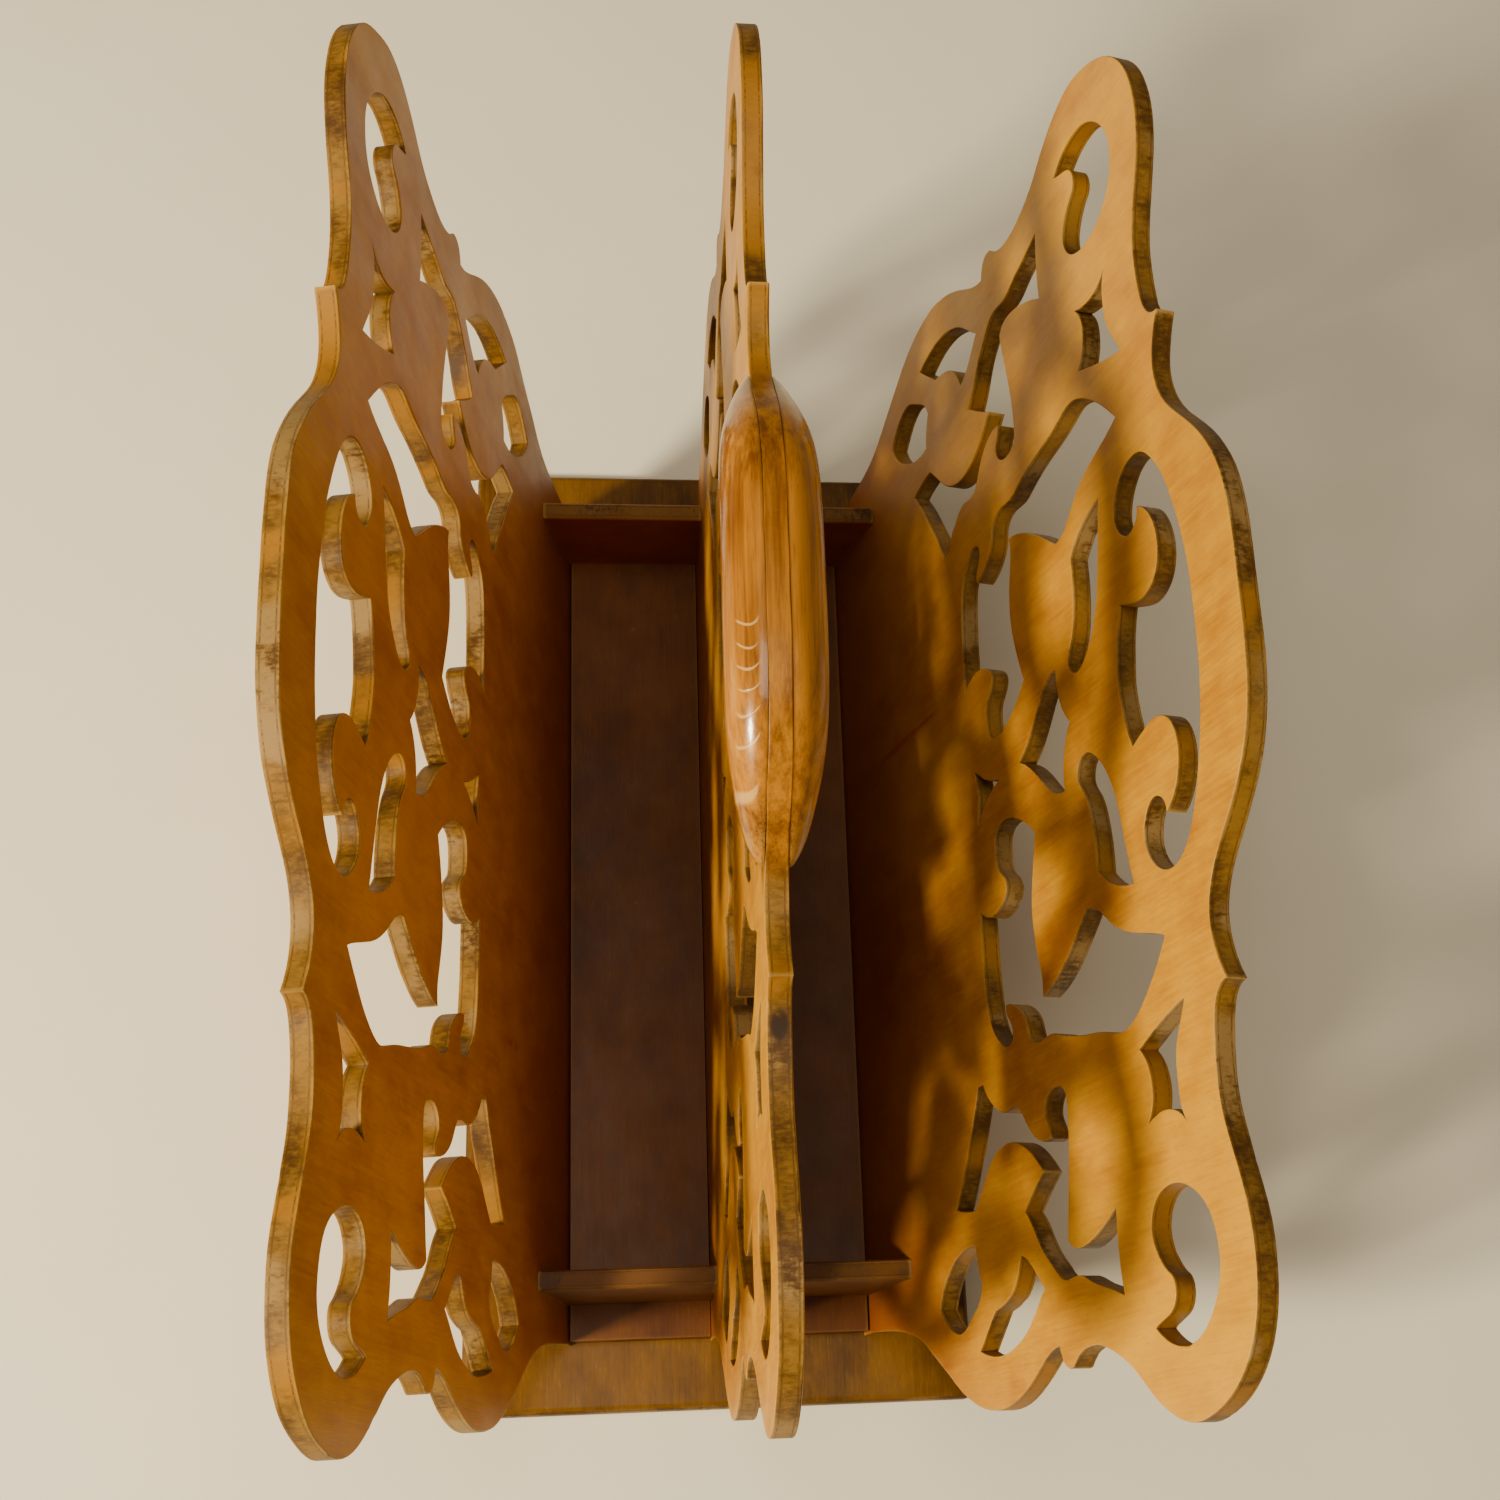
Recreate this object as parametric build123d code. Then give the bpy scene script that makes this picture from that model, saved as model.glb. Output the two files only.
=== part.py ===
from build123d import *
import os
from math import cos, radians, sin, tan

os.makedirs("parts", exist_ok=True)

# A divided carrying stand in fretwork plywood.
# Origin: middle of the underside of the base. X across the two pockets, Y along the panels, Z up.

# ---- Driving dimensions, mm ----
panel_length = 416.0            # ear to ear
panel_height = 292.0            # floor level to the crown of the arch, measured along the panel
panel_thickness = 6.4
flare_angle = 14.0              # lean of the side panels from upright, degrees
pocket_floor_width = 105.0      # between the side panels' inner faces, at floor level

base_thickness = 6.4
base_end_margin = 22.5          # base beyond the panels' feet, at each end
base_side_margin = 31.0         # base beyond the side panels' feet, at each side
base_edge_radius = 2.4
base_corner_radius = 3.0

floor_thickness = 6.4
floor_gap = 0.9                 # open slit between a floor and the panels beside it

strip_height = 39.5             # above the floors
strip_thickness = 6.4
strip_inset = 13.0              # from the end of a panel's foot to the strip's outer face
glue_gap = 0.1                  # between a glued end and the face it meets
strip_edge_chamfer = 0.6

grip_thickness = 10.4           # of one cheek at its fullest, out from the divider

pin_diameter = 1.3
pin_bite = 9.0                  # length of a pin in the piece that it holds
pin_sink = 0.3                  # pin heads lie this far below the surface
floor_pin_bite = 4.0
side_pin_shares = (0.35, 0.87)  # places of foot pins, as shares of half a foot's length
centre_pin_shares = (0.15, 0.6)
floor_pin_share = 0.7
strip_pin_shares = (0.28, 0.72) # of a strip's height
dowel_diameter = 3.0
dowel_bite = 6.0                # length of a dowel in each cheek

ROUNDING_LIMIT = 0.45           # of a board's thickness

# ---- Fretwork pattern ----
# The pattern is drawn on squared paper, one half only: u runs from the middle of the panel
# to its ear, v up from floor level. Its crown and its ear reach these squares.
PATTERN_CROWN = 343.5
PATTERN_EAR = 244.5
PATTERN_FOOT = 185.5
FOOT_ALLOWANCE = 20.0           # spare depth below floor level, trimmed to the base

DOWEL_U = 34.0                  # the dowels of the handle's cheeks
DOWEL_V = 327.5

u_scale = panel_length / 2 / PATTERN_EAR
v_scale = panel_height / PATTERN_CROWN

OUTLINE = [
    [(0, PATTERN_CROWN), (25, 343), (45, 339), (60, 330.5), (72, 320), (84, 309.5), (98, 305), (109, 307),
     (118, 311.5)],
    [(118, 311.5), (121, 305), (129, 301.5), (140, 300), (155, 300.5), (172, 305.5), (190, 310.5), (206, 311),
     (222, 306.5), (235, 295.5), (242.5, 280), (PATTERN_EAR, 266), (241, 252.5), (233, 239), (224, 227.5),
     (217.5, 215), (214.5, 204), (215, 194), (219.5, 186)],
    [(219.5, 186), (219.5, 182), (211.5, 176)],
    [(211.5, 176), (213.5, 167), (219.5, 155), (225, 141.5), (227.5, 128), (226.5, 113), (222, 98), (213, 82),
     (202, 65), (193.5, 50), (190, 38), (187.5, 22), (PATTERN_FOOT, 0)],
    [(PATTERN_FOOT, 0), (PATTERN_FOOT, -FOOT_ALLOWANCE)],
    [(PATTERN_FOOT, -FOOT_ALLOWANCE), (0, -FOOT_ALLOWANCE)],
]

CRESCENT = [
    [(0, 315), (20, 314), (41, 310), (56, 304.5), (67, 298), (73.5, 290), (74, 281), (69, 273), (60, 268.5),
     (52, 271), (48, 277.5), (50, 282.5), (55.5, 284.8)],
    [(55.5, 284.8), (51, 291), (43, 295.3), (33, 295.8), (25, 291.5), (21.7, 283), (23, 275), (26, 266.5)],
    [(26, 266.5), (18, 263.3), (9, 261.3), (0, 260.3)],
]
DIAMOND = [
    [(0, 222), (4.5, 218), (12, 214.7), (23.5, 213.8)],
    [(23.5, 213.8), (20.5, 204), (12.5, 195), (5.5, 187.5), (0, 178.5)],
]
SMALL_TRIANGLE = [
    [(0, 159), (4, 148), (10.5, 138.5)],
    [(10.5, 138.5), (0, 140.5)],
]

SLOT = [
    [(71.5, 258.3), (60, 255.5), (48, 253.2), (36, 250), (26, 245), (19, 238.5), (15.7, 231), (18, 226),
     (22, 224.5), (29, 228.3), (38, 231.8), (48, 233.3), (59.5, 233.2)],
    [(59.5, 233.2), (66, 241), (70, 250), (71.5, 258.3)],
]
TULIP_SURROUND = [
    [(94.8, 275.8), (102, 269), (110, 260), (116, 250), (118, 242), (115.5, 231), (113, 219), (111, 207),
     (108, 196), (105.5, 187), (106, 177), (103, 170.5), (96, 167.8), (90, 162.5), (86, 152)],
    [(86, 152), (90, 152.3), (95, 155.7), (99.5, 155.8), (101.5, 151.5), (98, 144.5), (91, 138.5),
     (82, 136), (64, 134.5), (45.2, 134.5)],
    [(45.2, 134.5), (49, 140.5), (50, 147), (48, 154.5), (43, 159.7), (38.5, 158.3), (34, 153.5), (27, 152),
     (19.5, 154.2), (17.2, 161), (19, 170), (23, 178), (30.2, 187.3)],
    [(30.2, 187.3), (40, 183.8), (52, 180.6), (64, 179.8), (76, 182.2), (84, 184), (91, 183.2)],
    [(91, 183.2), (88, 194.5), (82, 206), (75, 216), (70.2, 222.5)],
    [(70.2, 222.5), (72, 229.5), (79.5, 239), (86.5, 251), (90.5, 264), (94.8, 275.8)],
]
STAR = [
    [(117.5, 284), (123.5, 280.5), (132, 276), (141, 274.8), (149.5, 275.5), (155.5, 278.5)],
    [(155.5, 278.5), (150.5, 272), (149, 265), (149.6, 258.5), (151, 253.5)],
    [(151, 253.5), (145.5, 257.3), (138.5, 258), (132, 256.2), (126.5, 252)],
    [(126.5, 252), (123, 262), (120, 272), (117.5, 284)],
]
EAR_HOLE = [
    [(214.3, 246.3), (218.5, 252.5), (221.5, 262), (220.5, 273), (213.5, 283.5), (204, 289.3), (193, 289.8),
     (182.5, 285.3), (175, 275.5), (172.5, 264), (175.5, 254), (183, 249.3), (191.5, 251.5), (198.5, 258)],
    [(198.5, 258), (201.5, 260.8), (205, 261.2), (209.5, 259), (212.3, 252.5), (214.3, 246.3)],
]
KNOB_SURROUND = [
    [(173.2, 225.8), (186, 225.3), (201.3, 227)],
    [(201.3, 227), (197.5, 216), (194, 205), (190.5, 195), (190.3, 184), (184.5, 175.5), (177, 167.5),
     (170, 162.5), (162.6, 156)],
    [(162.6, 156), (157.5, 163.5), (151.5, 174)],
    [(151.5, 174), (144, 165.5), (139, 157.5), (136.2, 148), (136.5, 138.5), (139.8, 130), (146, 122.5),
     (154.8, 113)],
    [(154.8, 113), (154, 105), (151.5, 95.5)],
    [(151.5, 95.5), (143.5, 102), (133, 109), (120, 117.3), (110.5, 122)],
    [(110.5, 122), (110.5, 127)],
    [(110.5, 127), (117, 131.5), (122.5, 138.5), (124.7, 145), (124.2, 151), (125.5, 156.5), (129.5, 160),
     (136, 165), (140.2, 171.5), (141.5, 181.4)],
    [(141.5, 181.4), (137.5, 180.8), (132.4, 178.3), (127, 180.5), (124.6, 187), (126, 193), (130.5, 195.8)],
    [(130.5, 195.8), (144, 195.3), (157, 193), (168, 190.8), (178, 188.8)],
    [(178, 188.8), (181.3, 194), (181.5, 203), (179.5, 211), (176.5, 219), (173.2, 225.8)],
]
UPPER_TEARDROP = [
    [(191, 167.8), (196.5, 160.7), (202, 153.5), (206.3, 144.5), (209, 133), (208.7, 122), (205.5, 109.5)],
    [(205.5, 109.5), (199.5, 117), (193.3, 125)],
    [(193.3, 125), (192, 133), (188.5, 141.5), (184, 146), (177, 149.7)],
    [(177, 149.7), (180, 156), (185.5, 162), (191, 167.8)],
]
LOWER_HOLE = [
    [(167.8, 110.8), (175, 111.8), (182, 114.8)],
    [(182, 114.8), (188.5, 110.5), (193, 103), (197, 94.5), (196, 87), (191.5, 79.5), (186, 74)],
    [(186, 74), (178.5, 79), (172.5, 86.5), (168.8, 94.5), (167.8, 110.8)],
]

SHARED_OPENINGS = [CRESCENT, DIAMOND, SMALL_TRIANGLE]
PAIRED_OPENINGS = [SLOT, TULIP_SURROUND, STAR, EAR_HOLE, KNOB_SURROUND, UPPER_TEARDROP, LOWER_HOLE]


def on_panel(point):
    """A place on the squared paper, in mm on the panel."""
    u, v = point
    return (u * u_scale, v * v_scale)


def curve(run):
    """One smooth stretch of a sawn line: straight between two points, otherwise a spline."""
    points = [on_panel(point) for point in run]
    if len(points) == 2:
        return Line(*points)
    return Spline(*points)


def half_curves(runs):
    return [curve(run) for run in runs]


def mirrored(curves):
    return [mirror(each, about=Plane.YZ) for each in curves]


def shared_face(runs):
    """A face whose outline crosses the panel's middle line, from its right half."""
    right = half_curves(runs)
    return make_face(right + mirrored(right))


def paired_faces(runs):
    """The same opening in both halves of the panel."""
    right = half_curves(runs)
    return [make_face(right), make_face(mirrored(right))]


def pattern_face():
    """The whole pierced outline, with spare depth at the foot."""
    face = shared_face(OUTLINE)
    for runs in SHARED_OPENINGS:
        face -= shared_face(runs)
    for runs in PAIRED_OPENINGS:
        for opening in paired_faces(runs):
            face -= opening
    return face


# ---- Places that the pieces share ----
lean = radians(flare_angle)
floor_level = base_thickness + floor_thickness
foot_half = PATTERN_FOOT * u_scale
inner_x = pocket_floor_width / 2
strip_y = foot_half - strip_inset - strip_thickness / 2
halving_level = floor_level + strip_height / 2
foot_outer_x = inner_x - floor_thickness * tan(lean) + panel_thickness / cos(lean)
base_half_width = foot_outer_x + base_side_margin
base_half_length = foot_half + base_end_margin


def lean_x(height):
    """Where a side panel's inner face is at a height above the underside."""
    return inner_x + (height - floor_level) * tan(lean)


# Pattern planes: local x is u (along Y), local y is v, and the face looks along the plane's normal.
centre_plane = Plane(origin=(-panel_thickness / 2, 0, floor_level), x_dir=(0, 1, 0), z_dir=(1, 0, 0))
right_plane = Plane(origin=(inner_x, 0, floor_level), x_dir=(0, 1, 0), z_dir=(cos(lean), 0, -sin(lean)))


def both_ways(value):
    return (-value, value)


def rod(start, direction, length, diameter):
    """A plain round pin or dowel."""
    place = Plane(origin=start, z_dir=direction)
    return place * Cylinder(diameter / 2, length, align=(Align.CENTER, Align.CENTER, Align.MIN))


def mirror_left(solids):
    return [mirror(each, about=Plane.YZ) for each in solids]


def cut(piece, tools):
    for tool in tools:
        piece -= tool
    return piece


# ---- Fasteners ----
foot_pin_places = [side * foot_half * share for side in (-1, 1) for share in side_pin_shares]
foot_pin_places = sorted(foot_pin_places + [0.0])
centre_pin_places = [side * foot_half * share for side in (-1, 1) for share in centre_pin_shares]
strip_pin_heights = [floor_level + strip_height * share for share in strip_pin_shares]
floor_pin_places = [side * foot_half * floor_pin_share for side in (-1, 1)] + [0.0]


def side_foot_pins():
    """Pins up through the base, along the middle of the right panel's thickness."""
    along = (sin(lean), 0, cos(lean))
    middle = panel_thickness / 2 / cos(lean)
    start_z = pin_sink
    length = (base_thickness - pin_sink) / cos(lean) + pin_bite
    return [rod((lean_x(start_z) + middle, y, start_z), along, length, pin_diameter) for y in foot_pin_places]


def centre_foot_pins():
    length = base_thickness - pin_sink + pin_bite
    return [rod((0, y, pin_sink), (0, 0, 1), length, pin_diameter) for y in centre_pin_places]


def floor_board_pins():
    """Two rows of pins down through the floors into the base."""
    row_x = (panel_thickness / 2 + inner_x) / 2
    length = floor_thickness - pin_sink + floor_pin_bite
    bottom = base_thickness - floor_pin_bite
    return [rod((x, y, bottom), (0, 0, 1), length, pin_diameter)
            for x in both_ways(row_x) for y in floor_pin_places]


def right_strip_pins(y):
    """Pins square through the right panel into the end of a strip."""
    inward = (-cos(lean), 0, sin(lean))
    pins = []
    for height in strip_pin_heights:
        reach = panel_thickness - pin_sink
        start = (lean_x(height) + reach * cos(lean), y, height - reach * sin(lean))
        pins.append(rod(start, inward, reach + glue_gap + pin_bite, pin_diameter))
    return pins


def strip_pins(y):
    right = right_strip_pins(y)
    return right + mirror_left(right)


def grip_dowel_rods():
    length = panel_thickness + 2 * dowel_bite
    dowels = []
    for u in both_ways(DOWEL_U):
        along, up = on_panel((u, DOWEL_V))
        dowels.append(rod((-length / 2, along, floor_level + up), (1, 0, 0), length, dowel_diameter))
    return dowels


# ---- Panels ----
def foot_trim():
    """Everything below the base's top face."""
    reach = 2 * base_half_length
    below = Box(reach, 2 * reach, reach, align=(Align.CENTER, Align.CENTER, Align.MAX))
    return Pos(0, 0, base_thickness) * below


def make_right_panel(face, pins):
    board = extrude(right_plane * face, amount=panel_thickness)
    return cut(board - foot_trim(), pins)


def make_centre_panel(face, pins):
    """The divider, slotted from below where the end strips cross it."""
    board = extrude(centre_plane * face, amount=panel_thickness) - foot_trim()
    for y in both_ways(strip_y):
        slot_height = halving_level + glue_gap - base_thickness
        slot = Box(2 * panel_thickness, strip_thickness + 2 * glue_gap, slot_height,
                   align=(Align.CENTER, Align.CENTER, Align.MIN))
        board -= Pos(0, y, base_thickness) * slot
    return cut(board, pins)


# ---- Base, floors and strips ----
def make_base(pins):
    plate = Pos(0, 0, base_thickness / 2) * Box(2 * base_half_width, 2 * base_half_length, base_thickness)
    plate = fillet(plate.edges().filter_by(Axis.Z), base_corner_radius)
    plate = fillet(plate.edges().group_by(Axis.Z)[-1], min(base_edge_radius, ROUNDING_LIMIT * base_thickness))
    return cut(plate, pins)


def make_right_floor(pins):
    """The right pocket's floor, with its outer edge sawn to the lean."""
    inner = panel_thickness / 2 + floor_gap / 3
    half = foot_half - floor_gap
    profile = Plane.XZ * make_face(Polyline(
        (inner, base_thickness), (lean_x(base_thickness) - floor_gap, base_thickness),
        (lean_x(floor_level) - floor_gap, floor_level), (inner, floor_level), close=True))
    return cut(extrude(profile, amount=half, both=True), pins)


def make_strip(y, pins):
    """An end strip with ends sawn to the lean, slotted from above for the divider."""
    top = floor_level + strip_height
    low_x = lean_x(floor_level) - glue_gap
    high_x = lean_x(top) - glue_gap
    profile = Plane.XZ * make_face(Polyline(
        (-low_x, floor_level), (low_x, floor_level), (high_x, top), (-high_x, top), close=True))
    strip = Pos(0, y, 0) * extrude(profile, amount=strip_thickness / 2, both=True)
    strip = chamfer(strip.edges().group_by(Axis.Z)[-1].filter_by(Axis.X), strip_edge_chamfer)
    slot = Box(panel_thickness + 2 * glue_gap, 2 * strip_thickness, strip_height,
               align=(Align.CENTER, Align.CENTER, Align.MIN))
    return cut(strip - Pos(0, y, halving_level) * slot, pins)


# ---- Handle ----
# Bars across the divider's top arch, from its crown edge to its finger gap, on the squared paper,
# each with the cheek's thickness there as a share of the full one. One half only.
GRIP_BARS = [
    ((0, PATTERN_CROWN), (0, 315), 1.0),
    ((25, 343), (20, 314), 1.0),
    ((45, 339), (38, 311), 0.97),
    ((60, 330.5), (50, 307.3), 0.86),
    ((72, 320), (61, 302.3), 0.66),
    ((80, 312.6), (71, 299), 0.42),
    ((84, 308.7), (78, 301.5), 0.16),
]


def grip_section(bar, side):
    """Half an ellipse that stands on one bar, at the divider's right face."""
    outer, inner, share = bar
    top, bottom = [Vector(0, side * along, floor_level + up)
                   for along, up in (on_panel(outer), on_panel(inner))]
    across = top - bottom
    plane = Plane(origin=(top + bottom) * 0.5 + Vector(panel_thickness / 2, 0, 0), x_dir=(1, 0, 0),
                  z_dir=Vector(1, 0, 0).cross(across))
    half = across.length / 2
    bulge = EllipticalCenterArc((0, 0), share * grip_thickness, half, -90, arc_size=180)
    return plane * make_face([bulge, Line((0, half), (0, -half))])


def make_right_grip(dowels):
    """A cheek that follows the divider's top arch, rounded across and thinning towards both ends."""
    left = [grip_section(bar, -1) for bar in reversed(GRIP_BARS[1:])]
    right = [grip_section(bar, 1) for bar in GRIP_BARS]
    return cut(loft(left + right), dowels)


# ---- Build and write ----
pattern = pattern_face()
right_foot_pins = side_foot_pins()
left_foot_pins = mirror_left(right_foot_pins)
centre_pins = centre_foot_pins()
board_pins = floor_board_pins()
front_pins = strip_pins(-strip_y)
rear_pins = strip_pins(strip_y)
dowels = grip_dowel_rods()

right_panel = make_right_panel(pattern, right_foot_pins + front_pins + rear_pins)
right_floor = make_right_floor(board_pins)
right_grip = make_right_grip(dowels)

nodes = {
    "base_plate": make_base(right_foot_pins + left_foot_pins + centre_pins + board_pins),
    "floor_board_right": right_floor,
    "floor_board_left": mirror(right_floor, about=Plane.YZ),
    "right_panel": right_panel,
    "left_panel": mirror(right_panel, about=Plane.YZ),
    "centre_panel": make_centre_panel(pattern, centre_pins + dowels),
    "front_end_strip": make_strip(-strip_y, front_pins),
    "rear_end_strip": make_strip(strip_y, rear_pins),
    "handle_grip_right": right_grip,
    "handle_grip_left": mirror(right_grip, about=Plane.YZ),
    "right_panel_pins": Compound(right_foot_pins),
    "left_panel_pins": Compound(left_foot_pins),
    "centre_panel_pins": Compound(centre_pins),
    "floor_pins": Compound(board_pins),
    "front_strip_pins": Compound(front_pins),
    "rear_strip_pins": Compound(rear_pins),
    "grip_dowels": Compound(dowels),
}

for name, shape in nodes.items():
    export_step(shape, f"parts/{name}.step")
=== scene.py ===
import math
from dataclasses import dataclass

import bmesh
import bpy
import numpy as np
from mathutils import Matrix, Vector, noise
from mathutils.geometry import delaunay_2d_cdt


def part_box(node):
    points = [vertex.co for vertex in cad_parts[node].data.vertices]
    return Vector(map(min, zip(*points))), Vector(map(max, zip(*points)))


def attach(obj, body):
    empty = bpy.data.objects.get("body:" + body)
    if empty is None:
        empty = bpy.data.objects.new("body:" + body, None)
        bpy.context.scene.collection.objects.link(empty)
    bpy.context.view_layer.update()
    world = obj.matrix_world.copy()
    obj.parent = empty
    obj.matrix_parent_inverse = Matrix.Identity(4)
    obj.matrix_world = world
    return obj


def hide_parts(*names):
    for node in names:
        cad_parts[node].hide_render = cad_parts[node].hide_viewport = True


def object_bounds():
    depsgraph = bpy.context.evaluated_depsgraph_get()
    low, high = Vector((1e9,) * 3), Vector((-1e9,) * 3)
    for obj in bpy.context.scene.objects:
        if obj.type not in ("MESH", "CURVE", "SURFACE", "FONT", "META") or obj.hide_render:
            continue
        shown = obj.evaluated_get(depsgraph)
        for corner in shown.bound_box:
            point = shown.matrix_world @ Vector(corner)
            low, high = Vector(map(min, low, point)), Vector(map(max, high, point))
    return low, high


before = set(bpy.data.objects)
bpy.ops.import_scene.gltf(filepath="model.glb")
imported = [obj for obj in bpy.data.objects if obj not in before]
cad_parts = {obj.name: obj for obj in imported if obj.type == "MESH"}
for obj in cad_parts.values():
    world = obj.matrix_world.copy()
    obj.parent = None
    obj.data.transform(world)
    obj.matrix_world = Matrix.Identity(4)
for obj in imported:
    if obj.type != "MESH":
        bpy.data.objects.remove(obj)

# The looks of a divided carrying stand in fretwork plywood. Everything is in metres.
# X runs across the two pockets, Y along the panels, Z up.

cad_low, cad_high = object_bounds()

MM = 0.001
BODY = "root"


# ---- Node trees ----
class Surface:
    """One material and its node tree, built by short calls."""

    def __init__(self, name):
        self.material = bpy.data.materials.new(name)
        self.material.use_nodes = True
        self.tree = self.material.node_tree
        self.shader = self.tree.nodes["Principled BSDF"]

    def node(self, kind, sockets=None, **settings):
        made = self.tree.nodes.new("ShaderNode" + kind)
        for name, value in settings.items():
            setattr(made, name, value)
        for key, value in (sockets or {}).items():
            self.feed(made.inputs[key], value)
        return made

    def feed(self, socket, value):
        if isinstance(value, bpy.types.NodeSocket):
            self.tree.links.new(value, socket)
        elif isinstance(value, (tuple, list)) and len(value) == 3 and socket.type == "RGBA":
            socket.default_value = (*value, 1.0)
        else:
            socket.default_value = value

    def coordinates(self, kind="Object"):
        return self.node("TexCoord").outputs[kind]

    def split(self, vector):
        return self.node("SeparateXYZ", {0: vector}).outputs

    def join(self, x, y, z):
        return self.node("CombineXYZ", {0: x, 1: y, 2: z}).outputs[0]

    def scaled(self, vector, scale, offset=(0, 0, 0)):
        return self.node("Mapping", {0: vector, "Location": offset, "Scale": scale}).outputs[0]

    def noise(self, vector, scale=1.0, detail=3.0, roughness=0.5, distortion=0.0):
        made = self.node("TexNoise", {"Vector": vector, "Scale": scale, "Detail": detail,
                                      "Roughness": roughness, "Distortion": distortion})
        return made.outputs["Fac"]

    def band(self, value, low, high, start=0.0, end=1.0):
        """Value's rise from low to high, as a smooth step from start to end."""
        made = self.node("MapRange", {"Value": value, "From Min": low, "From Max": high,
                                      "To Min": start, "To Max": end}, interpolation_type="SMOOTHSTEP")
        return made.outputs["Result"]

    def math(self, operation, first, second=0.0):
        return self.node("Math", {0: first, 1: second}, operation=operation).outputs[0]

    def product(self, first, second):
        return self.math("MULTIPLY", first, second)

    def gap(self, value, centre):
        """How far value is from centre, either way."""
        return self.math("ABSOLUTE", self.math("SUBTRACT", value, centre))

    def weighted(self, *pairs):
        """The sum of values times their weights, from (value, weight) pairs."""
        total = self.product(*pairs[0])
        for value, weight in pairs[1:]:
            total = self.math("ADD", total, self.product(value, weight))
        return total

    def blend(self, factor, first, second):
        made = self.node("Mix", {"Factor": factor, 6: first, 7: second}, data_type="RGBA")
        return made.outputs[2]

    def bump(self, height, distance, strength=1.0):
        return self.node("Bump", {"Height": height, "Distance": distance, "Strength": strength}).outputs[0]

    def finish(self, colour, roughness, normal, **fixed):
        self.feed(self.shader.inputs["Base Color"], colour)
        self.feed(self.shader.inputs["Roughness"], roughness)
        self.feed(self.shader.inputs["Normal"], normal)
        for name, value in fixed.items():
            self.shader.inputs[name.replace("_", " ")].default_value = value
        return self.material


# ---- Colours, as linear red, green and blue; a pair runs from dark to light ----
@dataclass
class Palette:
    """Colours of one kind of board. The foot shade is painted shade, a deeper colour where a panel meets the
    floor.
    """
    veneer: tuple
    sawn: tuple
    bare: tuple
    amber: tuple
    worn: tuple
    foot_shade: tuple = None


PANEL_PALETTE = Palette(
    veneer=((0.33, 0.11, 0.003), (0.62, 0.3, 0.008)),
    sawn=((0.07, 0.027, 0.002), (0.27, 0.13, 0.014)),
    bare=(0.3, 0.18, 0.06),
    amber=(0.34, 0.14, 0.004),
    worn=((0.34, 0.17, 0.02), (0.56, 0.34, 0.09)),
    # painted shade towards the pocket's floor
    foot_shade=(0.2, 0.03, 0.001))
BASE_PALETTE = Palette(
    veneer=((0.04, 0.014, 0.001), (0.2, 0.083, 0.003)),
    sawn=((0.05, 0.018, 0.002), (0.12, 0.05, 0.006)),
    bare=(0.2, 0.11, 0.03),
    amber=(0.18, 0.07, 0.003),
    worn=((0.26, 0.13, 0.02), (0.36, 0.2, 0.05)))
FLOOR_PALETTE = Palette(
    veneer=((0.06, 0.014, 0.001), (0.16, 0.048, 0.002)),
    sawn=((0.05, 0.015, 0.002), (0.1, 0.035, 0.004)),
    bare=(0.14, 0.06, 0.015),
    amber=(0.14, 0.045, 0.002),
    worn=((0.18, 0.07, 0.006), (0.24, 0.11, 0.02)))
# darker than the rear strip: painted shade, because the key light reaches the front strip's near face
SHADED_FRONT_STRIP_PALETTE = Palette(
    veneer=((0.07, 0.018, 0.001), (0.14, 0.042, 0.002)),
    sawn=((0.05, 0.016, 0.002), (0.12, 0.05, 0.004)),
    bare=(0.17, 0.085, 0.02),
    amber=(0.14, 0.05, 0.002),
    worn=((0.34, 0.17, 0.04), (0.46, 0.27, 0.08)))
REAR_STRIP_PALETTE = Palette(
    veneer=((0.24, 0.04, 0.002), (0.38, 0.08, 0.004)),
    sawn=((0.06, 0.02, 0.002), (0.16, 0.065, 0.005)),
    bare=(0.2, 0.1, 0.02),
    amber=(0.17, 0.06, 0.002),
    worn=((0.34, 0.17, 0.04), (0.46, 0.27, 0.08)))
GRIP_TONES = ((0.15, 0.042, 0.001), (0.5, 0.19, 0.003))
GRIP_END_WEAR = (0.34, 0.19, 0.04)
# painted shade for the groove where a grip meets the divider
GROOVE_SHADE = (0.06, 0.02, 0.002)
NICK = (0.75, 0.45, 0.16)
KNOT = (0.03, 0.012, 0.004)
RED_STAIN = (0.3, 0.01, 0.004)
STEEL_TONES = ((0.23, 0.21, 0.19), (0.42, 0.4, 0.38))
BEECH_TONES = ((0.5, 0.3, 0.14), (0.68, 0.46, 0.25))
FLOOR_TONES = ((0.88, 0.82, 0.68), (0.92, 0.87, 0.74))


# ---- Materials ----
# Noise frequencies per metre: along the grain, across it, and through the board
VENEER_DRIFT = (7, 15, 15)
VENEER_FIBRES = (55, 1000, 1000)
VENEER_CLOUD = (60, 90, 90)
VENEER_FLECKS = (230, 1500, 1500)
EDGE_STAIN = (42, 42, 60)
EDGE_PATCHES = (24, 24, 24)
EDGE_PORES = (700, 700, 300)
SOLID_SWAY = (14, 60, 60)
SOLID_BANDS = (7, 330, 330)
SOLID_FIBRES = (60, 1500, 1500)
SOLID_PORES = (120, 2300, 2300)
BEECH_FIBRES = (40, 900, 900)

OUTER_PLY = 1.15 * MM
GLUE_LINE = (0.36 * MM, 0.08 * MM)
PLY_WANDER = 0.5 * MM
RUB_REACH = 1.5 * MM
POLISH_ALONG = (7 * MM, -5 * MM)
POLISH_UP = (-4 * MM, 3 * MM)
# how raggedly the painted shade at a panel's foot ends
FOOT_SHADE_RAGGEDNESS = 20 * MM
PLY_BUMP = 0.12 * MM

# how far in from a grip's edges the painted shade of the groove reaches
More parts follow.
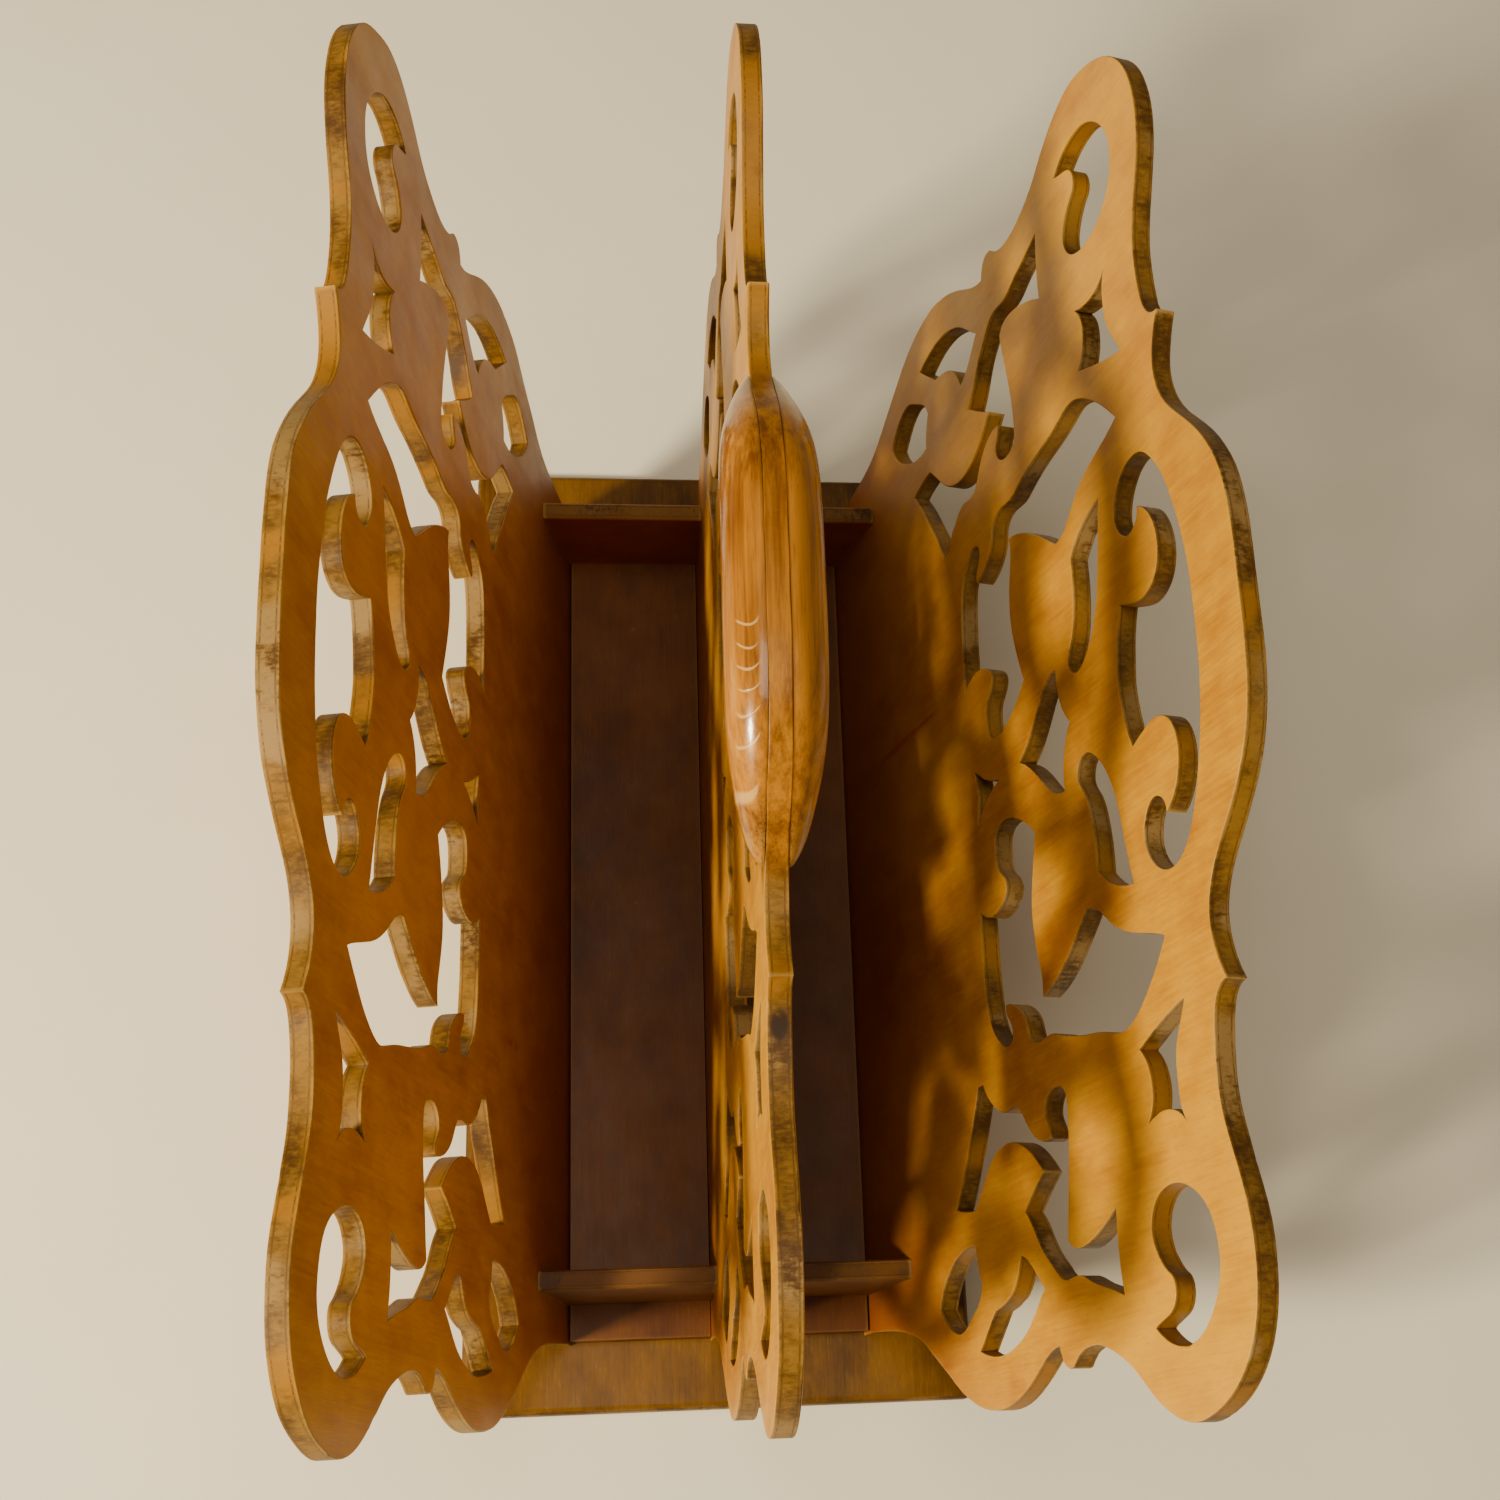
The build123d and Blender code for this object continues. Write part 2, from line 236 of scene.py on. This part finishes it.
GRIP_GROOVE_SHADE_REACH = 1.2 * MM
GRIP_END_BAND = (54 * MM, 72 * MM)
GRIP_BUMP = 0.15 * MM
NICK_STRETCH = (-58 * MM, -8 * MM)
NICK_COUNT = 6.6
NICK_SPACING_POWER = 0.7
NICK_X = -8 * MM
NICK_CURVE = 210.0
NICK_HALF_WIDTH = (3.2 * MM, 2 * MM)
NICK_WOBBLE = 6 * MM
NICK_BELOW_CROWN = (32.8 * MM, 22.8 * MM)


@dataclass
class Sheet:
    """How a board lies on its object's axes: its grain, its face, its mid-plane and its thickness."""
    grain_axis: int
    face_axis: int
    middle: float
    thickness: float


@dataclass
class Mark:
    """One stain, an ellipsoid in a board's own axes."""
    centre: tuple
    radii: tuple
    colour: tuple
    strength: float


def edge_closeness(s, reach):
    """1 at an outside edge of the piece, falling to 0 about a reach away from it."""
    inside = s.node("AmbientOcclusion", {"Distance": reach}, samples=6, inside=True, only_local=True)
    return s.math("SUBTRACT", 1.0, inside.outputs["AO"])


def nearness(s, mark):
    """1 about a mark's centre, falling to 0 at its ellipsoid."""
    offset = tuple(-c / r for c, r in zip(mark.centre, mark.radii))
    scale = tuple(1 / r for r in mark.radii)
    local = s.scaled(s.coordinates(), scale, offset)
    distance = s.node("VectorMath", {0: local}, operation="LENGTH").outputs["Value"]
    return s.band(distance, 1.0, 0.55)


def streaks(s, along, across, through, seed):
    """The grips' hardwood along one direction: broad bands, fibres and fine dark pores."""
    dark, light = GRIP_TONES
    offset = (seed * 2.3, seed * 4.1, seed * 1.7)
    space = s.join(along, across, through)
    sway = s.noise(s.scaled(space, SOLID_SWAY, offset), detail=3, distortion=0.5)
    bands = s.noise(s.scaled(space, SOLID_BANDS, offset), detail=3, roughness=0.55, distortion=0.35)
    fibres = s.noise(s.scaled(space, SOLID_FIBRES, offset), detail=4, roughness=0.65)
    tone = s.weighted((sway, 0.4), (bands, 0.38), (fibres, 0.22))
    colour = s.blend(s.band(tone, 0.36, 0.64), dark, light)
    pores = s.noise(s.scaled(space, SOLID_PORES, offset), detail=2)
    colour = s.blend(s.product(s.band(pores, 0.62, 0.72), 0.45), colour, dark)
    return colour, fibres, sway


def veneer_colour(s, space, offset, palette):
    """A board's face: slow drift of tone, fibres, and short pale flecks along the grain."""
    drift = s.noise(s.scaled(space, VENEER_DRIFT, offset), detail=3, distortion=0.6)
    fibres = s.noise(s.scaled(space, VENEER_FIBRES, offset), detail=4, roughness=0.65)
    cloud = s.noise(s.scaled(space, VENEER_CLOUD, offset), detail=4, roughness=0.6)
    flecks = s.noise(s.scaled(space, VENEER_FLECKS, offset), detail=2)
    tone = s.weighted((drift, 0.46), (cloud, 0.32), (fibres, 0.22))
    colour = s.blend(s.band(tone, 0.3, 0.68), *palette.veneer)
    fleck_zone = s.product(s.band(flecks, 0.56, 0.68), s.band(cloud, 0.44, 0.6))
    colour = s.blend(s.product(fleck_zone, 0.3), colour, palette.worn[0])
    return colour, fibres, cloud


def sawn_colour(s, space, offset, through, sheet, palette):
    """A board's edge: blotchy end grain, bare and amber patches, and the glue line under each outer ply."""
    dark, light = palette.sawn
    stain = s.noise(s.scaled(space, EDGE_STAIN, offset), detail=5, roughness=0.62)
    patches = s.noise(s.scaled(space, EDGE_PATCHES, offset), detail=2, distortion=0.4)
    pores = s.noise(s.scaled(space, EDGE_PORES, offset), detail=3, roughness=0.7)
    tone = s.weighted((stain, 0.66), (pores, 0.34))
    colour = s.blend(s.band(tone, 0.36, 0.62), dark, light)
    is_bare = s.product(s.band(patches, 0.54, 0.62), s.band(tone, 0.4, 0.52))
    colour = s.blend(s.product(is_bare, 0.8), colour, palette.bare)
    colour = s.blend(s.product(s.band(patches, 0.44, 0.36), 0.75), colour, palette.amber)
    wander = s.product(s.math("SUBTRACT", stain, 0.5), PLY_WANDER)
    depth = s.math("ADD", s.gap(through, sheet.middle), wander)
    line = s.band(s.gap(depth, sheet.thickness / 2 - OUTER_PLY), *GLUE_LINE)
    line_shade = s.product(line, s.band(pores, 0.35, 0.6))
    return s.blend(s.product(line_shade, 0.7), colour, dark), stain, pores


def hand_polish(s, place, half_length, level):
    """1 on the part of the divider's edge between the grips, which hands have polished."""
    outer, inner = POLISH_ALONG
    along = s.band(s.math("ABSOLUTE", place[0]), half_length + outer, half_length + inner)
    return s.product(along, s.band(place[1], level + POLISH_UP[0], level + POLISH_UP[1]))


def plywood(name, seed, sheet, palette, foot_shade=None, handle=None, marks=(), gloss=0.4):
    """Varnished plywood. Its foot shade is the (level, reach) over which painted shade deepens the colour
    downwards, and handle the (half length, level) of the grips."""
    s = Surface(name)
    place = s.split(s.coordinates())
    across_axis = 3 - sheet.grain_axis - sheet.face_axis
    through = place[sheet.face_axis]
    space = s.join(place[sheet.grain_axis], place[across_axis], through)
    offset = (seed * 3.7, seed * 1.9, seed * 5.3)

    face_colour, fibres, cloud = veneer_colour(s, space, offset, palette)
    if foot_shade is not None:
        level, reach = foot_shade
        # painted shade: the colour darkens downwards towards the pocket's floor, with a ragged top
        height = s.math("ADD", place[1], s.product(cloud, FOOT_SHADE_RAGGEDNESS))
        low = s.band(height, level + reach, level)
        face_colour = s.blend(s.product(low, 0.85), face_colour, palette.foot_shade)
    edge_colour, stain, pores = sawn_colour(s, space, offset, through, sheet, palette)
    facing = s.math("ABSOLUTE", s.split(s.coordinates("Normal"))[sheet.face_axis])
    on_face = s.band(facing, 0.55, 0.9)
    colour = s.blend(on_face, edge_colour, face_colour)

    # the varnish worn through along the arrises
    ragged = s.product(s.math("SUBTRACT", stain, 0.5), 0.7)
    rubbed = s.band(s.math("ADD", edge_closeness(s, RUB_REACH), ragged), 0.26, 0.46)
    colour = s.blend(s.product(rubbed, 0.6), colour, s.blend(pores, *palette.worn))
    polished = 0.0
    if handle is not None:
        polished = hand_polish(s, place, *handle)
        grip_colour = streaks(s, place[0], place[1], through, seed)[0]
        colour = s.blend(s.product(polished, 0.92), colour, grip_colour)
    for mark in marks:
        spot = s.product(nearness(s, mark), s.band(cloud, 0.28, 0.5))
        colour = s.blend(s.product(spot, mark.strength), colour, mark.colour)

    base = s.band(s.weighted((stain, 0.6), (fibres, 0.4)), 0.3, 0.7, gloss - 0.08, gloss + 0.12)
    on_edge = s.math("SUBTRACT", 1.0, on_face)
    roughness = s.weighted((base, 1.0), (on_edge, 0.14), (rubbed, 0.1), (polished, -0.2))
    normal = s.bump(s.blend(on_face, pores, fibres), PLY_BUMP, 0.5)
    return s.finish(colour, roughness, normal, Specular_IOR_Level=0.25, Coat_Weight=0.06,
                    Coat_Roughness=0.25)


def curved_nicks(s, x, y, z, crown):
    """1 in a row of short curved nicks across a grip, unevenly spaced along NICK_STRETCH."""
    space = s.join(x, y, z)
    from_line = s.gap(x, NICK_X)
    bow = s.product(s.math("POWER", from_line, 2.0), NICK_CURVE)
    wobble = s.noise(s.scaled(space, (60, 60, 60)), detail=2)
    row = s.math("ADD", s.math("SUBTRACT", y, bow), s.product(wobble, NICK_WOBBLE))
    near_end, far_end = NICK_STRETCH
    run = s.band(row, far_end, near_end)
    phase = s.math("FRACT", s.product(s.math("POWER", run, NICK_SPACING_POWER), NICK_COUNT))
    line = s.band(s.gap(phase, 0.5), 0.075, 0.03)
    inside = s.product(s.band(run, 0.0, 0.02), s.band(run, 1.0, 0.98))
    low, high = (crown - drop for drop in NICK_BELOW_CROWN)
    shown = s.product(inside, s.band(z, low, high))
    patchy = s.band(s.noise(s.scaled(space, (60, 110, 60)), detail=1), 0.4, 0.5)
    patchy = s.product(patchy, s.band(from_line, *NICK_HALF_WIDTH))
    return s.product(s.product(line, shown), patchy)


def varnished_grip(name, seed, nicked_below=None):
    """Glossy hardwood with long grain. nicked_below is the crown's height on a grip with nicks across it."""
    s = Surface(name)
    x, y, z = s.split(s.coordinates())[:3]
    colour, fibres, sway = streaks(s, y, x, z, seed)
    height = s.product(fibres, 0.3)
    if nicked_below is not None:
        nicks = curved_nicks(s, x, y, z, nicked_below)
        colour = s.blend(s.product(nicks, 0.6), colour, NICK)
        height = s.math("SUBTRACT", height, nicks)
    # painted shade: darker near the grip's edges, as in the groove where it meets the divider
    groove_shade = s.product(s.band(edge_closeness(s, GRIP_GROOVE_SHADE_REACH), 0.25, 0.45), 0.75)
    colour = s.blend(groove_shade, colour, GROOVE_SHADE)
    end_wear = s.product(s.band(s.math("ABSOLUTE", y), *GRIP_END_BAND), s.band(fibres, 0.35, 0.6))
    colour = s.blend(s.product(end_wear, 0.6), colour, GRIP_END_WEAR)
    roughness = s.band(sway, 0.3, 0.7, 0.2, 0.34)
    return s.finish(colour, roughness, s.bump(height, GRIP_BUMP, 0.35), Specular_IOR_Level=0.4,
                    Coat_Weight=0.45, Coat_Roughness=0.1)


def metal(name):
    """Steel panel pins, gone dull."""
    s = Surface(name)
    spots = s.noise(s.coordinates(), scale=900.0, detail=3)
    colour = s.blend(s.band(spots, 0.45, 0.6), *STEEL_TONES)
    return s.finish(colour, s.band(spots, 0.3, 0.7, 0.35, 0.6), s.bump(spots, 0.03 * MM), Metallic=1.0)


def bare_wood(name, seed):
    """Unfinished beech, for the dowels."""
    s = Surface(name)
    fibres = s.noise(s.scaled(s.coordinates(), BEECH_FIBRES, (seed, seed, seed)), detail=4)
    colour = s.blend(s.band(fibres, 0.35, 0.65), *BEECH_TONES)
    return s.finish(colour, s.band(fibres, 0.3, 0.7, 0.6, 0.75), s.bump(fibres, 0.05 * MM))


def plain_floor(name):
    s = Surface(name)
    mottle = s.noise(s.coordinates(), scale=14.0, detail=3)
    colour = s.blend(mottle, *FLOOR_TONES)
    return s.finish(colour, 0.85, s.bump(mottle, 0.1 * MM, 0.2))


# ---- Boards with worn arrises ----
ARRIS_STEPS = 3
SHARP_TURN = math.radians(32)
LONGEST_STEP = 2.4 * MM
SHORTEST_STEP = 0.12 * MM
SAME_PLACE = 0.001 * MM
SAME_PLANE = 0.01 * MM
SAME_WAY = 0.999
CROSSING_SLACK = 0.0001 * MM
NARROWEST_MITRE = 0.55
WEAR_FREQUENCY = 70
CHIP_THRESHOLD = 0.42


def flat_loops(node, frame_axes, inner):
    """The outlines of a CAD board's inner face, in the board's own plane, with the wood on their left."""
    mesh = bmesh.new()
    mesh.from_mesh(node.data)
    bmesh.ops.remove_doubles(mesh, verts=mesh.verts, dist=SAME_PLACE)
    mesh.normal_update()
    along, up, outward = frame_axes
    following = {}
    for face in mesh.faces:
        off_plane = abs(face.verts[0].co.dot(outward) - inner) > SAME_PLANE
        if face.normal.dot(outward) > -SAME_WAY or off_plane:
            continue
        for corner in face.loops:
            others = [f for f in corner.edge.link_faces if f is not face]
            if others[0].normal.dot(outward) > -SAME_WAY:
                following[corner.link_loop_next.vert] = corner.vert
    loops = []
    while following:
        start, vert = following.popitem()
        chain = [start]
        while vert is not start:
            chain.append(vert)
            vert = following.pop(vert)
        loops.append([Vector((v.co.dot(along), v.co.dot(up))) for v in chain])
    mesh.free()
    return loops


def even_steps(loop):
    """The loop with slivers dropped and long stretches divided."""
    kept = [p for i, p in enumerate(loop) if (p - loop[i - 1]).length > SHORTEST_STEP]
    points = []
    for i, p in enumerate(kept):
        step = kept[(i + 1) % len(kept)] - p
        count = max(1, math.ceil(step.length / LONGEST_STEP))
        points += [p + step * (k / count) for k in range(count)]
    return points


def corners_of(points):
    """For each point of a closed outline: the way into the wood of the edge after it, the mitre between
    the edges on both sides of it, and how sharply it turns."""
    total = len(points)
    tangents = [(points[(i + 1) % total] - points[i]).normalized() for i in range(total)]
    inward = [Vector((-t.y, t.x)) for t in tangents]
    turn = [tangents[i - 1].angle(tangents[i]) for i in range(total)]
    mitre = []
    for i in range(total):
        middle = (inward[i - 1] + inward[i]).normalized()
        mitre.append(middle / max(NARROWEST_MITRE, middle.dot(inward[i])))
    return inward, mitre, turn


def worn_radius(point, side, arris, seed):
    """The arris radius at a point of the outline, uneven, and larger where a chip is gone."""
    spot = Vector((point.x, point.y, side + seed)) * WEAR_FREQUENCY
    rub = arris * (0.75 + 0.9 * noise.noise(spot))
    chip = max(0.0, noise.noise(spot * 2.3) - CHIP_THRESHOLD) * 3.2 * arris
    return max(0.2 * arris, rub + chip)


def fill(rings):
    """Triangles between closed rings of mesh vertices that share one plane, anticlockwise from above."""
    verts = [v for ring in rings for v in ring]
    flat = [v.co.xy for v in verts]
    edges, first = [], 0
    for ring in rings:
        edges += [(first + i, first + (i + 1) % len(ring)) for i in range(len(ring))]
        first += len(ring)
    points, _, triangles, origins, _, _ = delaunay_2d_cdt(flat, edges, [], 1, CROSSING_SLACK)
    ends = np.array([(*flat[a], *flat[b]) for a, b in edges])
    found = []
    for triangle in triangles:
        # a triangle is wood where a ray from its middle towards +X crosses an odd number of edges
        x, y = sum((points[i] for i in triangle), Vector((0, 0))) / 3
        crossed = (ends[:, 1] > y) != (ends[:, 3] > y)
        ax, ay, bx, by = ends[crossed].T
        hits = np.count_nonzero(ax + (y - ay) * (bx - ax) / (by - ay) > x)
        if hits % 2 and all(origins[i] for i in triangle):
            found.append([verts[origins[i][0]] for i in triangle])
    return found


class WornBoard:
    """The mesh of a board of any pierced outline, its arrises rubbed round unevenly. Local z runs through
    the board, and lift(point) moves up a point that would lie under what the board stands on."""

    def __init__(self, thickness, arris, seed, lift):
        self.mesh = bmesh.new()
        self.thickness = thickness
        self.arris = arris
        self.seed = seed
        self.lift = lift
        self.corner_normals = []
        self.rims = ([], [])
        angles = [math.pi / 2 * k / ARRIS_STEPS for k in range(ARRIS_STEPS + 1)]
        self.layers = [(0, angle) for angle in angles] + [(1, angle) for angle in reversed(angles)]

    def ring(self, points, mitre, side, angle):
        """The outline's vertices at one step round the arris of one side."""
        verts = []
        for i, point in enumerate(points):
            radius = worn_radius(point, side, self.arris, self.seed)
            flat = point + mitre[i] * radius * (1 - math.sin(angle))
            depth = radius * (1 - math.cos(angle))
            place = Vector((flat.x, flat.y, self.thickness - depth if side else depth))
            verts.append(self.mesh.verts.new(self.lift(place)))
        return verts

    def add_wall(self, loop):
        """The sawn edge along one outline, with its two arrises."""
        points = even_steps(loop)
        inward, mitre, turn = corners_of(points)
        rings = [self.ring(points, mitre, side, angle) for side, angle in self.layers]
        total = len(points)
        for k in range(len(self.layers) - 1):
            for i in range(total):
                j = (i + 1) % total
                self.mesh.faces.new((rings[k][i], rings[k][j], rings[k + 1][j], rings[k + 1][i]))
                smooth = {i: -mitre[i].normalized() if turn[i] < SHARP_TURN else -inward[i],
                          j: -mitre[j].normalized() if turn[j] < SHARP_TURN else -inward[i]}
                for layer, place in ((k, i), (k, j), (k + 1, j), (k + 1, i)):
                    side, angle = self.layers[layer]
                    facing = math.cos(angle) * (1 if side else -1)
                    out = smooth[place] * math.sin(angle)
                    self.corner_normals.append((out.x, out.y, facing))
        self.rims[0].append(rings[0])
        self.rims[1].append(rings[-1])

    def add_face(self, side):
        """One of the two pierced faces, between all the rims of its side."""
        normal = (0.0, 0.0, 1.0 if side else -1.0)
        for triangle in fill(self.rims[side]):
            self.mesh.faces.new(triangle if side else triangle[::-1])
            self.corner_normals += [normal] * 3
        near_rim = dict.fromkeys(e for ring in self.rims[side] for v in ring for e in v.link_edges)
        gaps = [e for e in near_rim if len(e.link_faces) == 1]
        for face in bmesh.ops.holes_fill(self.mesh, edges=gaps, sides=0)["faces"]:
            self.corner_normals += [normal] * len(face.verts)

    def finish(self, name):
        for face in self.mesh.faces:
            face.smooth = True
        data = bpy.data.meshes.new(name)
        self.mesh.to_mesh(data)
        self.mesh.free()
        data.normals_split_custom_set(self.corner_normals)
        return data


def panel(name, node_name, outward_side, material, arris, seed):
    """A fretwork panel, rebuilt from its CAD face. outward_side is the way its outer face looks along X."""
    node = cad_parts[node_name]
    widest = max(node.data.polygons, key=lambda p: p.area)
    outward = widest.normal.copy()
    if outward.x * outward_side < 0:
        outward.negate()
    along = Vector((0, outward_side, 0))
    up = outward.cross(along).normalized()
    depths = [v.co.dot(outward) for v in node.data.vertices]
    inner, thickness = min(depths), max(depths) - min(depths)
    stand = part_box(node_name)[0].z

    def lift(point):
        height = up.z * point.y + outward.z * (inner + point.z)
        if height < stand:
            point.y += (stand - height) / up.z
        return point

    board = WornBoard(thickness, arris, seed, lift)
    for loop in flat_loops(node, (along, up, outward), inner):
        board.add_wall(loop)
    for side in (0, 1):
        board.add_face(side)
    data = board.finish(name)

    piece = bpy.data.objects.new(name, data)
    bpy.context.scene.collection.objects.link(piece)
    place = Matrix((along, up, outward)).transposed().to_4x4()
    place.translation = outward * inner
    piece.matrix_world = place
    data.materials.append(material)
    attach(piece, BODY)
    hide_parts(node_name)


# ---- The stand ----
SIDE_ARRIS = 0.55 * MM
DIVIDER_ARRIS = 0.6 * MM
# In a side panel's own axes, up its lean, the pocket's floor is about this high
SIDE_FLOOR_LEVEL = 25 * MM
# how far up from the floor the painted shade at a panel's foot reaches
SIDE_FOOT_SHADE_REACH = 150 * MM
DIVIDER_FOOT_SHADE_REACH = 110 * MM
KNOT_Y = -111 * MM
KNOT_BELOW_TOP = 33 * MM
SCRATCH = Mark((42 * MM, 87 * MM, 0), (1.5 * MM, 34 * MM, 2 * MM), RED_STAIN, 0.6)
SPECK_RADII = (1.6 * MM, 1.2 * MM, 2 * MM)
SPECK_HEIGHTS = (95 * MM, 101 * MM, 104 * MM)
SPECKS = [Mark((70 * MM, height, 0), SPECK_RADII, RED_STAIN, 0.8) for height in SPECK_HEIGHTS]


def repaint(node_name, material):
    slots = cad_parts[node_name].data.materials
    slots.clear()
    slots.append(material)


def build_panels():
    low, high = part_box("centre_panel")
    thickness = high.x - low.x
    sheet = Sheet(grain_axis=1, face_axis=2, middle=thickness / 2, thickness=thickness)
    side_foot_shade = (SIDE_FLOOR_LEVEL, SIDE_FOOT_SHADE_REACH)
    right = plywood("side_ply_right", 1.0, sheet, PANEL_PALETTE, foot_shade=side_foot_shade, marks=[SCRATCH])
    left = plywood("side_ply_left", 2.0, sheet, PANEL_PALETTE, foot_shade=side_foot_shade, marks=SPECKS)
    centre_foot_shade = (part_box("floor_board_right")[1].z, DIVIDER_FOOT_SHADE_REACH)
    grip_low, grip_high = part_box("handle_grip_right")
    knot_place = (KNOT_Y, high.z - KNOT_BELOW_TOP, thickness / 2)
    knot = Mark(knot_place, (5.5 * MM, 12 * MM, 3.2 * MM), KNOT, 1.0)
    centre = plywood("centre_ply", 3.0, sheet, PANEL_PALETTE, foot_shade=centre_foot_shade,
                     handle=(grip_high.y, grip_low.z), marks=[knot])
    panel("right_fretwork", "right_panel", 1, right, SIDE_ARRIS, 11.0)
    panel("left_fretwork", "left_panel", -1, left, SIDE_ARRIS, 23.0)
    panel("divider_fretwork", "centre_panel", 1, centre, DIVIDER_ARRIS, 37.0)


def repaint_board(node_name, seed, grain_axis, face_axis, palette, gloss):
    low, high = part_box(node_name)
    middle = (low[face_axis] + high[face_axis]) / 2
    sheet = Sheet(grain_axis, face_axis, middle, high[face_axis] - low[face_axis])
    repaint(node_name, plywood(node_name + "_ply", seed, sheet, palette, gloss=gloss))


def build_flat_boards():
    repaint_board("base_plate", 4.0, 1, 2, BASE_PALETTE, gloss=0.4)
    repaint_board("floor_board_left", 5.0, 1, 2, FLOOR_PALETTE, gloss=0.5)
    repaint_board("floor_board_right", 6.0, 1, 2, FLOOR_PALETTE, gloss=0.5)
    repaint_board("front_end_strip", 7.0, 0, 1, SHADED_FRONT_STRIP_PALETTE, gloss=0.5)
    repaint_board("rear_end_strip", 8.0, 0, 1, REAR_STRIP_PALETTE, gloss=0.5)


def build_handle():
    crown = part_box("handle_grip_left")[1].z
    repaint("handle_grip_left", varnished_grip("grip_wood_left", 1.0, nicked_below=crown))
    repaint("handle_grip_right", varnished_grip("grip_wood_right", 3.0))


def build_fasteners():
    steel = metal("pin_steel")
    for node_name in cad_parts:
        if node_name.endswith("_pins"):
            repaint(node_name, steel)
    repaint("grip_dowels", bare_wood("dowel_wood", 9.0))


# ---- Floor, light and camera ----
FLOOR_REACH = 30.0
FLOOR_DROP = 0.05 * MM
KEY_COLOUR = (1.0, 0.88, 0.6)
OVERHEAD_COLOUR = (1.0, 0.9, 0.7)
SKY_COLOUR = (1.0, 0.84, 0.62)
SKY_STRENGTH = 0.2


def build_stage():
    mesh = bmesh.new()
    bmesh.ops.create_grid(mesh, x_segments=4, y_segments=4, size=FLOOR_REACH / 2)
    data = bpy.data.meshes.new("floor")
    mesh.to_mesh(data)
    mesh.free()
    floor = bpy.data.objects.new("floor", data)
    floor.location.z = cad_low.z - FLOOR_DROP
    data.materials.append(plain_floor("floor_plain"))
    bpy.context.scene.collection.objects.link(floor)


def area_light(name, azimuth, elevation, distance, size, power, colour):
    """A soft square light aimed at the middle of the stand. Azimuth 0 is on -Y, 90 on +X, in degrees."""
    light = bpy.data.lights.new(name, "AREA")
    light.shape = "SQUARE"
    light.size = size
    light.energy = power
    light.color = colour
    lamp = bpy.data.objects.new(name, light)
    a, e = math.radians(azimuth), math.radians(elevation)
    back = Vector((math.sin(a) * math.cos(e), -math.cos(a) * math.cos(e), math.sin(e)))
    lamp.location = (cad_low + cad_high) / 2 + back * distance
    lamp.rotation_mode = "QUATERNION"
    lamp.rotation_quaternion = back.to_track_quat("Z", "Y")
    bpy.context.scene.collection.objects.link(lamp)


def build_lights():
    area_light("key", azimuth=-65, elevation=30, distance=1.6, size=0.25, power=47, colour=KEY_COLOUR)
    area_light("overhead", azimuth=-100, elevation=82, distance=2.0, size=1.0, power=14,
               colour=OVERHEAD_COLOUR)
    world = bpy.data.worlds.new("studio")
    world.use_nodes = True
    background = world.node_tree.nodes["Background"]
    background.inputs["Color"].default_value = (*SKY_COLOUR, 1.0)
    background.inputs["Strength"].default_value = SKY_STRENGTH
    bpy.context.scene.world = world


# The camera stands where the photographer did, above the near end and looking down
CAMERA_PLACE = (-0.0522, -0.2502, 0.8281)
CAMERA_TURN = (21.81, -7.69, -2.94)
CAMERA_LENS = 54.8
CAMERA_SHIFT = (-0.1, -0.02)


def build_camera():
    data = bpy.data.cameras.new("camera")
    data.sensor_width = 36
    data.lens = CAMERA_LENS
    data.shift_x, data.shift_y = CAMERA_SHIFT
    data.clip_start, data.clip_end = 0.01, 100
    camera = bpy.data.objects.new("camera", data)
    camera.location = CAMERA_PLACE
    camera.rotation_euler = [math.radians(turn) for turn in CAMERA_TURN]
    bpy.context.scene.collection.objects.link(camera)
    bpy.context.scene.camera = camera


build_panels()
build_flat_boards()
build_handle()
build_fasteners()
build_stage()
build_lights()
build_camera()
